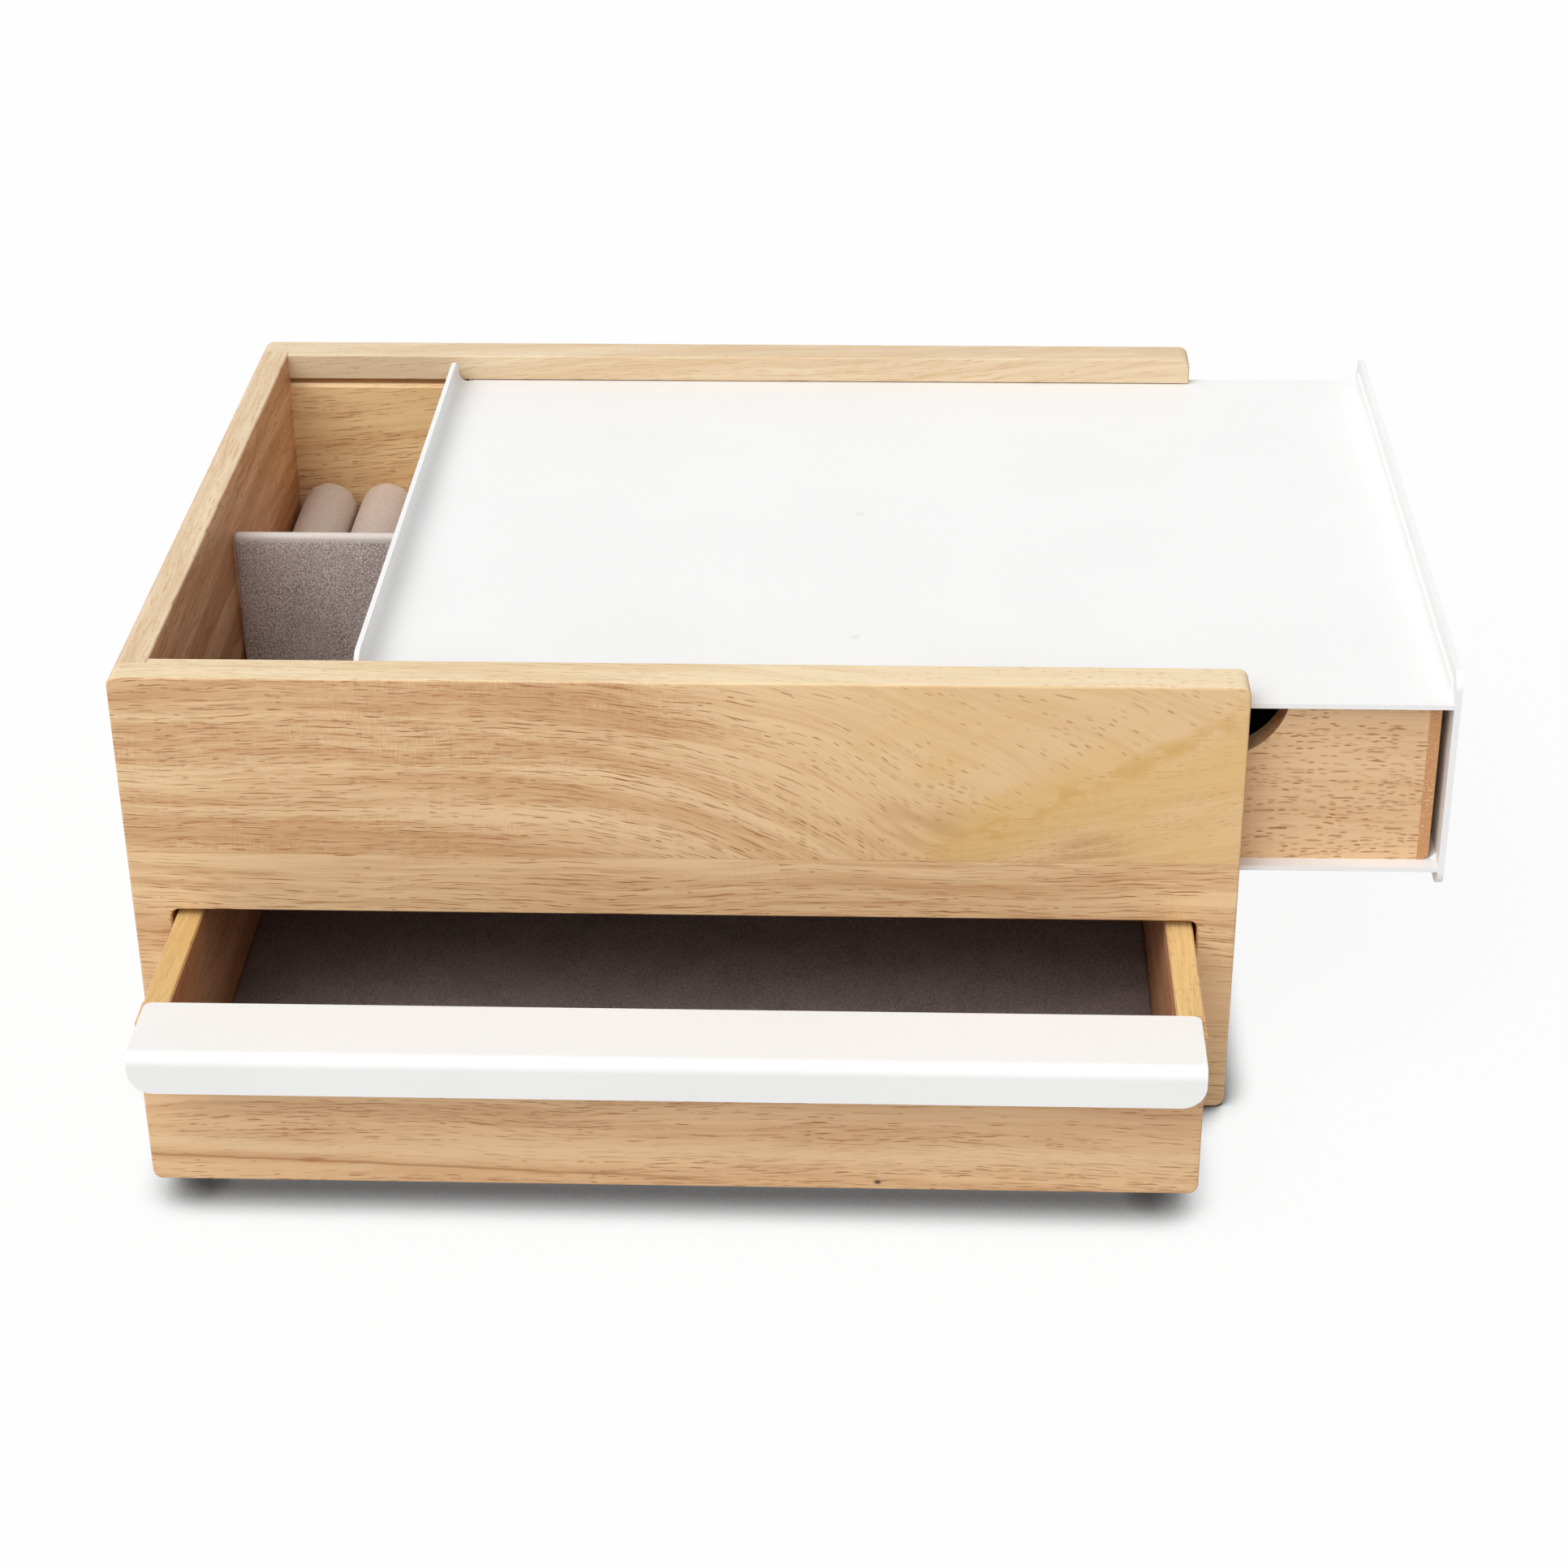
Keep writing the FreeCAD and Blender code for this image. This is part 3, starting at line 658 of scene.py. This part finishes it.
def feather(tree, x, z):
    """How far the grain drops towards the gleam, and how far it climbs again behind it."""
    foot = GLEAM_FOOT[0] - GLEAM_FOOT[1] / GLEAM_SLOPE
    line = calculate(tree, "MULTIPLY_ADD", z, 1 / GLEAM_SLOPE, foot)
    before = calculate(tree, "SMOOTH_MIN", x, line, FEATHER_BEND)
    past = calculate(tree, "SUBTRACT", x, before)
    drop = calculate(tree, "SUBTRACT", before, FEATHER_START)
    drop = product(tree, calculate(tree, "SMOOTH_MAX", drop, 0.0, FEATHER_EASE), FEATHER_FALL)
    return calculate(tree, "MULTIPLY_ADD", past, -FEATHER_RISE, drop)


def gild(tree, colour, x, z, across, right, outer):
    """Golden patches, the gleam through the feather's middle, and brown smudges."""
    face = on_plane(tree, x, z)
    leaning = on_plane(tree, x, calculate(tree, "MULTIPLY_ADD", x, -GLEAM_SLOPE, z))
    gold = span(tree, clouds(tree, leaning, GOLD_PER_MM, CLOUDY), *GOLD_EDGE)
    colour = mix_colours(tree, product(tree, gold, right, GOLD_SHARE), colour, GOLD_WOOD)
    gleam = beside_line(tree, x, z, GLEAM_FOOT, GLEAM_SLOPE, wobble(tree, face, *GLEAM_WAVE))
    gleam = product(tree, fade(tree, gleam, *GLEAM_EDGE), span(tree, x, *GLEAM_SPAN), outer)
    patchy = span(tree, clouds(tree, face, PATCHES_PER_MM, CLOUDY), *PATCH_EDGE)
    colour = mix_colours(tree, product(tree, gleam, patchy, GLEAM_SHARE), colour, GLEAM_GOLD)
    cloudy = span(tree, clouds(tree, on_plane(tree, x, across), SMUDGES_PER_MM, CLOUDY), *SMUDGE_EDGE)
    for centre, reach in SMUDGES:
        smudge = product(tree, spot(tree, face, centre, reach), cloudy, SMUDGE_SHARE)
        colour = mix_colours(tree, smudge, colour, SMUDGE_BROWN)
    return colour


def front_board():
    """Two glued strips: straight grain below, and above it grain that sweeps down into a golden feather."""
    material, tree, shader = new_material("front_board_wood")
    place = millimetres(tree)
    x, y, z = parts_of(tree, place)
    level = calculate(tree, "ADD", z, y)
    outer = fade(tree, facing_of(tree)[1], *FRONT_FACING)
    right = product(tree, span(tree, x, *FAINT_SPAN), outer)
    turn = span(tree, x, *SWEEP_SPAN)
    fall = span(tree, z, SEAM_HEIGHT, SWEEP_TOP, SWEEP_LEVEL + SWEEP_DEPTH, SWEEP_LEVEL)
    across = calculate(tree, "ADD", level, product(tree, turn, turn, fall))
    across = calculate(tree, "MULTIPLY_ADD", outer, feather(tree, x, z), across)
    curl = product(tree, wobble(tree, on_plane(tree, x, z), *CURL_WAVE), span(tree, x, *CURL_SPAN))

    colours = timber(tree, (x, y, z), PLAIN, PLAIN, EDGE)
    upper_grain = {name: span(tree, x, *change) for name, change in UPPER_GRAIN.items()}
    for name, faint in FAINT.items():
        upper_grain[name] = mix_colours(tree, right, colours[name], faint)
    upper_lines = on_plane(tree, x, calculate(tree, "ADD", across, curl))
    upper = use_group(tree, BOARD_GRAIN, Vector=upper_lines, **upper_grain)
    lower_lines = on_plane(tree, calculate(tree, "ADD", x, LOWER_START), level)
    lower = use_group(tree, BOARD_GRAIN, Vector=lower_lines, **LOWER_GRAIN, **colours)

    below = calculate(tree, "LESS_THAN", z, SEAM_HEIGHT)
    colour = gild(tree, upper["Colour"], x, z, across, right, outer)
    colour = mix_colours(tree, below, colour, lower["Colour"])
    seam = fade(tree, beside_line(tree, x, z, (0.0, SEAM_HEIGHT), 0.0, 0.0), *SEAM_EDGE, SEAM_SHARE)
    colour = mix_colours(tree, seam, colour, SMUDGE_BROWN)
    roughness = mix_values(tree, below, upper["Roughness"], lower["Roughness"])
    height = mix_values(tree, below, upper["Height"], lower["Height"])
    lacquer(tree, shader, 0, place, (colour, roughness, height))
    return material


def drawer_front_board():
    """A pale stripe at mid height, a dark streak with an eye at the lower left, and a pin knot."""
    material, tree, shader = new_material("drawer_front_wood")
    place = millimetres(tree)
    x, y, z = parts_of(tree, place)
    face = on_plane(tree, x, z)
    lines = on_plane(tree, calculate(tree, "ADD", x, DRAWER_FRONT_START), calculate(tree, "ADD", z, y))
    look = use_group(tree, BOARD_GRAIN, Vector=lines, **DRAWER_FRONT_GRAIN)
    stripe = beside_line(tree, x, z, (0.0, STRIPE_HEIGHT), 0.0, wobble(tree, face, *STRIPE_WAVE))
    stripe = fade(tree, stripe, *STRIPE_EDGE, STRIPE_SHARE)
    colour = mix_colours(tree, stripe, look["Colour"], PALE_WOOD)
    away = beside_line(tree, x, z, STREAK_START, STREAK_SLOPE, wobble(tree, face, *STREAK_WAVE))
    left = fade(tree, x, *STREAK_FADE)
    halo = product(tree, fade(tree, away, *HALO_EDGE, HALO_SHARE), left)
    colour = mix_colours(tree, halo, colour, SMUDGE_BROWN)
    streak = product(tree, fade(tree, away, *STREAK_EDGE, STREAK_SHARE), left)
    eye = product(tree, spot(tree, face, *STREAK_EYE), EYE_SHARE)
    colour = mix_colours(tree, calculate(tree, "MAXIMUM", streak, eye), colour, PORE_BROWN)
    knot = product(tree, spot(tree, face, *PIN_KNOT), KNOT_SHARE)
    colour = mix_colours(tree, knot, colour, KNOT_BLACK)
    lacquer(tree, shader, 0, place, (colour, look["Roughness"], look["Height"]))
    return material


# Fabric and metal

def fabric(name, dark, light, brushing, sheen, bump, crest=None):
    """Velvet or felt; with a crest, the colour is washed paler just below that height, a painted highlight
    and sheen along the lit upper edge.
    """
    material, tree, shader = new_material(name)
    place = millimetres(tree)
    look = use_group(tree, NAP, Vector=place, Dark=dark, Light=light, Brushing=brushing)
    colour = look["Colour"]
    if crest is not None:
        # Painted highlight and sheen along the upper edge
        rim = span(tree, parts_of(tree, place)[2], crest - RIM_FADE, crest - RIM_BAND, 0.0, RIM_SHARE)
        colour = mix_colours(tree, rim, colour, PAINTED_SHEEN_PALE)
    feed(tree, shader.inputs["Base Color"], colour)
    shader.inputs["Roughness"].default_value = PILE_ROUGHNESS
    shader.inputs["Specular IOR Level"].default_value = PILE_SPECULAR
    shader.inputs["Sheen Weight"].default_value = sheen
    shader.inputs["Sheen Roughness"].default_value = SHEEN_ROUGHNESS
    shader.inputs["Sheen Tint"].default_value = SHEEN_TINT
    rough_surface(tree, shader, look["Height"], bump, PILE_RELIEF)
    return material


def white_metal(name, marks=()):
    """Powder-coated sheet; each mark is a faint round trace of a weld under the coat."""
    material, tree, shader = new_material(name)
    place = millimetres(tree)
    look = use_group(tree, POWDER_COAT, Vector=place)
    colour = look["Colour"]
    x, y, _ = parts_of(tree, place)
    for mark in marks:
        trace = product(tree, spot(tree, on_plane(tree, x, y), mark, WELD_REACH), WELD_SHARE)
        colour = mix_colours(tree, trace, colour, WELD_GREY)
    feed(tree, shader.inputs["Base Color"], colour)
    feed(tree, shader.inputs["Roughness"], look["Roughness"])
    shader.inputs["Specular IOR Level"].default_value = COAT_SPECULAR
    rough_surface(tree, shader, look["Height"], PEEL_DEPTH, PEEL_RELIEF)
    return material


def paint(material, *nodes):
    """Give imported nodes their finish."""
    for node in nodes:
        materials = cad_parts[node].data.materials
        materials.clear()
        materials.append(material)


# Soft pieces

def new_object(name, shape):
    """Turn a bmesh into an object of the scene."""
    mesh = bpy.data.meshes.new(name)
    shape.to_mesh(mesh)
    shape.free()
    made = bpy.data.objects.new(name, mesh)
    bpy.context.scene.collection.objects.link(made)
    return made


def new_piece(name, shape, material, body, node):
    """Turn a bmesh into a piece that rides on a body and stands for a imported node."""
    piece = new_object(name, shape)
    for polygon in piece.data.polygons:
        polygon.use_smooth = True
    piece.data.materials.append(material)
    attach(piece, body)
    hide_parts(node)
    return piece


def everything(shape):
    return shape.verts[:] + shape.edges[:] + shape.faces[:]


def box_shape(low, high):
    """A bmesh block between two corners."""
    shape = bmesh.new()
    bmesh.ops.create_cube(shape, size=1.0)
    bmesh.ops.scale(shape, vec=high - low, verts=shape.verts)
    bmesh.ops.translate(shape, vec=(low + high) / 2, verts=shape.verts)
    return shape


def round_edges(shape, edges, radius, segments):
    bmesh.ops.bevel(
        shape, geom=edges, offset=radius, offset_type="OFFSET", segments=segments, profile=0.5,
        affect="EDGES", material=-1,
    )


def cut_across(shape, axis, low, high, pieces):
    """Cut a shape into even slices along an axis."""
    direction = Vector([float(i == axis) for i in range(3)])
    for number in range(1, pieces):
        place = direction * (low[axis] + (high[axis] - low[axis]) * number / pieces)
        bmesh.ops.bisect_plane(shape, geom=everything(shape), plane_co=place, plane_no=direction)


def ripple(place, wave_length):
    """A smooth change from 0 to 1 from place to place, the same on every run."""
    return 0.5 + 0.5 * noise.noise(place / wave_length)


def felt_liner(name, node, material, body):
    """A cut sheet of felt, laid flat, with soft edges and a barely uneven top."""
    low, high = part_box(node)
    shape = box_shape(low, high)
    thick = high.z - low.z
    upper = high.z - thick / 4
    rim = [edge for edge in shape.edges if min(v.co.z for v in edge.verts) > upper]
    round_edges(shape, rim, thick * FELT_EDGE, FELT_SEGMENTS)
    for axis in (0, 1):
        cut_across(shape, axis, low, high, max(FELT_FEWEST, round((high[axis] - low[axis]) / FELT_STEP)))
    for vert in shape.verts:
        if vert.co.z > upper:
            vert.co.z -= FELT_WAVE * ripple(vert.co, FELT_WAVE_LENGTH)
    piece = new_piece(name, shape, material, body, node)


def velvet_wall(name, node, material, along):
    """A thin board wrapped in velvet: soft edges, and a face that is not quite flat."""
    low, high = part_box(node)
    shape = box_shape(low, high)
    across = 1 - along
    thick = high[across] - low[across]
    middle = (low[across] + high[across]) / 2
    soft = [edge for edge in shape.edges if max(v.co.z for v in edge.verts) > high.z - thick]
    round_edges(shape, soft, thick * WRAP_EDGE, SOFT_SEGMENTS)
    cut_across(shape, along, low, high, round((high[along] - low[along]) / WRAP_STEP))
    cut_across(shape, 2, low, high - Vector((0, 0, thick)), WRAP_ROWS)
    for vert in shape.verts:
        side = 1 if vert.co[across] > middle else -1
        vert.co[across] -= side * WRAP_WAVE * ripple(vert.co, WRAP_WAVE_LENGTH)
    new_piece(name, shape, material, "case", node)


def roll_shape(low, high):
    """A foam roll before its cover is drawn over it: a bar that is flat where it lies."""
    shape = bmesh.new()
    radius = (high.x - low.x) / 2 - ROLL_TUCK / 2
    length = high.y - low.y - ROLL_TUCK
    lying = Euler((math.radians(90), 0, 0)).to_matrix().to_4x4()
    bmesh.ops.create_cone(
        shape, cap_ends=True, segments=ROLL_SIDES, radius1=radius, radius2=radius, depth=length, matrix=lying,
    )
    rims = [edge for edge in shape.edges if abs(edge.verts[0].co.y - edge.verts[1].co.y) < length / 2]
    round_edges(shape, rims, radius * ROLL_END, SOFT_SEGMENTS)
    seat = (high.x - low.x) / 2 - (high.z - low.z)
    cut = bmesh.ops.bisect_plane(
        shape, geom=everything(shape), plane_co=(0, 0, seat), plane_no=(0, 0, -1), clear_outer=True,
    )
    rim = [item for item in cut["geom_cut"] if isinstance(item, bmesh.types.BMEdge)]
    bmesh.ops.contextual_create(shape, geom=rim)
    bmesh.ops.recalc_face_normals(shape, faces=shape.faces)
    return shape


def apply_modifier(piece, modifier):
    """Make a modifier's result the piece's own mesh."""
    graph = bpy.context.evaluated_depsgraph_get()
    made = bpy.data.meshes.new_from_object(piece.evaluated_get(graph))
    piece.modifiers.remove(modifier)
    piece.data = made


def blow_up(cover):
    """Let the pressure of the foam fill a cover."""
    cloth = cover.modifiers.new("velvet", "CLOTH")
    cloth.settings.use_pressure = True
    cloth.settings.uniform_pressure_force = COVER_PRESSURE
    cloth.settings.effector_weights.gravity = 0.0
    cloth.settings.quality = COVER_QUALITY
    cloth.point_cache.frame_start = 1
    cloth.point_cache.frame_end = SIMULATION_FRAMES
    for step in range(1, SIMULATION_FRAMES + 1):
        bpy.context.scene.frame_set(step)
    apply_modifier(cover, cloth)
    bpy.context.scene.frame_set(1)


def swell(shape):
    """Blow a closed shape up a little as foam fills its cover, and give back the settled bmesh."""
    bmesh.ops.scale(shape, vec=(SIMULATION_SCALE,) * 3, verts=shape.verts)
    cover = new_object("roll_cover", shape)
    remesh = cover.modifiers.new("even_cloth", "REMESH")
    remesh.mode = "VOXEL"
    remesh.voxel_size = COVER_VOXEL * SIMULATION_SCALE
    bpy.context.view_layer.objects.active = cover
    apply_modifier(cover, remesh)
    start = [vert.co.copy() for vert in cover.data.vertices]
    blow_up(cover)
    settled = bmesh.new()
    settled.from_mesh(cover.data)
    limit = COVER_SWELL * SIMULATION_SCALE
    for vert, rest in zip(settled.verts, start):
        move = vert.co - rest
        if move.length > limit:
            vert.co = rest + move.normalized() * limit
    bmesh.ops.scale(settled, vec=(1 / SIMULATION_SCALE,) * 3, verts=settled.verts)
    bpy.data.objects.remove(cover)
    return settled


def ring_rolls(material):
    """The row of padded rolls: one cover is settled, and each roll is a slightly different copy."""
    settled = swell(roll_shape(*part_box("ring_roll_1")))
    for number in range(1, ROLL_COUNT + 1):
        node = "ring_roll_%d" % number
        low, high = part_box(node)
        radius = (high.x - low.x) / 2
        centre = Vector(((low.x + high.x) / 2, (low.y + high.y) / 2, high.z - radius))
        shape = settled.copy()
        bmesh.ops.translate(shape, vec=centre, verts=shape.verts)
        for vert in shape.verts:
            dent = noise.noise(vert.co / ROLL_DENT_LENGTH) * ROLL_DENT
            vert.co += Vector((vert.co.x - centre.x, 0, vert.co.z - centre.z)).normalized() * dent
            for axis in range(3):
                vert.co[axis] = min(max(vert.co[axis], low[axis]), high[axis])
        piece = new_piece("velvet_" + node, shape, material, "case", node)
        smooth = piece.modifiers.new("soft_cover", "SUBSURF")
        smooth.levels = 1
        smooth.render_levels = 1
    settled.free()


# Floor, light and camera

def seen_directly(tree):
    """1 for what the camera sees, itself or in a reflection, and 0 for light that bounces."""
    path = new_node(tree, "LightPath")
    seen = calculate(tree, "MAXIMUM", path.outputs["Is Camera Ray"], path.outputs["Is Glossy Ray"])
    return calculate(tree, "MAXIMUM", seen, path.outputs["Is Transmission Ray"])


def matt(tree, colour):
    made = new_node(tree, "BsdfDiffuse")
    made.inputs["Color"].default_value = colour
    return made.outputs[0]


def mix_shaders(tree, share, first, second):
    return feed_all(tree, new_node(tree, "MixShader"), (share, first, second))


def white_floor():
    """A pale floor that reads as white, with the object's shadow close under it."""
    shape = bmesh.new()
    bmesh.ops.create_grid(shape, x_segments=1, y_segments=1, size=FLOOR_HALF)
    floor = new_object("floor", shape)
    material, tree = empty_material("white_floor")
    # Painted contact shadow: the floor the camera sees is a white emission darkened by ambient occlusion near
    # the object, with a small share of its real shadow mixed in
    contact = new_node(tree, "AmbientOcclusion", samples=CONTACT_SAMPLES)
    contact.inputs["Distance"].default_value = CONTACT_REACH
    shade = span(tree, contact.outputs["AO"], *CONTACT_SPAN)
    white = new_node(tree, "Emission")
    feed(tree, white.inputs["Color"], feed_all(tree, new_node(tree, "CombineColor"), (shade,) * 3))
    shown = mix_shaders(tree, FLOOR_SHADOW_SHARE, white.outputs[0], matt(tree, FLOOR_WHITE))
    both = mix_shaders(tree, seen_directly(tree), matt(tree, FLOOR_BOUNCE), shown)
    tree.links.new(both, new_node(tree, "OutputMaterial").inputs["Surface"])
    floor.data.materials.append(material)


def soft_light():
    """An even white sky, a broad soft key from the upper left and a weaker lamp from the front."""
    world = bpy.data.worlds.new("studio")
    bpy.context.scene.world = world
    world.use_nodes = True
    tree = world.node_tree
    tree.nodes.clear()
    sky = new_node(tree, "Background")
    level = (seen_directly(tree), 0.0, 1.0, WORLD_STRENGTH, 1.0)
    feed(tree, sky.inputs["Strength"], feed_all(tree, new_node(tree, "MapRange"), level))
    sky.inputs["Color"].default_value = SKY_WHITE
    tree.links.new(sky.outputs[0], new_node(tree, "OutputWorld").inputs["Surface"])
    for name, strength, angle, source in (KEY_LIGHT, FRONT_LIGHT):
        lamp = bpy.data.lights.new(name, "SUN")
        lamp.energy = strength
        lamp.angle = angle
        sun = bpy.data.objects.new(name, lamp)
        sun.rotation_euler = source.to_track_quat("Z", "Y").to_euler()
        bpy.context.scene.collection.objects.link(sun)


def photo_camera():
    """The photograph's view."""
    lens = bpy.data.cameras.new("camera")
    lens.lens = CAMERA_LENS
    camera = bpy.data.objects.new("camera", lens)
    bpy.context.scene.collection.objects.link(camera)
    level = math.cos(CAMERA_ELEVATION)
    back = Vector((
        math.sin(CAMERA_AZIMUTH) * level, -math.cos(CAMERA_AZIMUTH) * level, math.sin(CAMERA_ELEVATION),
    ))
    turn = back.to_track_quat("Z", "Y").to_matrix()
    turn = turn @ Matrix.Rotation(CAMERA_ROLL, 3, "Z")
    camera.matrix_world = Matrix.Translation(CAMERA_PLACE) @ turn.to_4x4()
    bpy.context.scene.camera = camera


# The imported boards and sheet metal

paint(front_board(), "front_panel")
paint(wood("back_board_wood", 0, 2, (PLAIN, YELLOW_PAINTED_LIGHT, SAND_GRAIN_AND_SHEEN), **BACK_GRAIN), "back_panel")
paint(wood("side_wall_wood", 1, 3, (PLAIN, RED_PAINTED_SHADE, SAND_GRAIN_AND_SHEEN), **SIDE_GRAIN), "left_wall", "right_wall")
paint(wood("tray_wood", 0, 4, (PINK, PINK, PINK), **TRAY_GRAIN), "tray_front", "tray_back")
paint(wood("tray_side_wood", 1, 5, (PINK, PINK, PINK)), "tray_left_side", "tray_right_side")
paint(drawer_front_board(), "drawer_front")
drawer_side_wood = wood("drawer_side_wood", 1, 7, (PLAIN, BROWN_PAINTED_SHADE, GOLDEN_GRAIN_AND_SHEEN), **DRAWER_GRAIN)
paint(drawer_side_wood, "drawer_left_side", "drawer_right_side")
paint(wood("drawer_back_wood", 0, 8, (PLAIN, BROWN_PAINTED_SHADE, GOLDEN_GRAIN_AND_SHEEN)), "drawer_back")
plywood = wood("plywood", 0, 9, (BIRCH, BIRCH, BIRCH), **PLY_GRAIN)
paint(plywood, "compartment_floor", "base_panel", "tray_bottom", "drawer_bottom_panel")
paint(white_metal("white_lid_coat", WELD_MARKS), "lid_plate")
paint(white_metal("white_powder_coat"), "end_plate", "tray_carrier", "drawer_handle")

# The soft pieces

velvet = fabric("taupe_velvet", **VELVET, crest=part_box("divider")[1].z / MM)
roll_velvet_painted_light = fabric("roll_velvet_painted_light", **ROLL_VELVET_PAINTED_LIGHT)
felt = fabric("taupe_felt", **FELT)
felt_liner("compartment_felt", "compartment_liner", felt, "case")
felt_liner("tray_felt", "tray_liner", felt, "lid")
felt_liner("drawer_felt", "drawer_liner", felt, "drawer")
velvet_wall("velvet_divider", "divider", velvet, 0)
velvet_wall("velvet_partition", "partition", velvet, 1)
ring_rolls(roll_velvet_painted_light)

# The studio

white_floor()
soft_light()
photo_camera()
bpy.context.scene.view_settings.view_transform = "Standard"
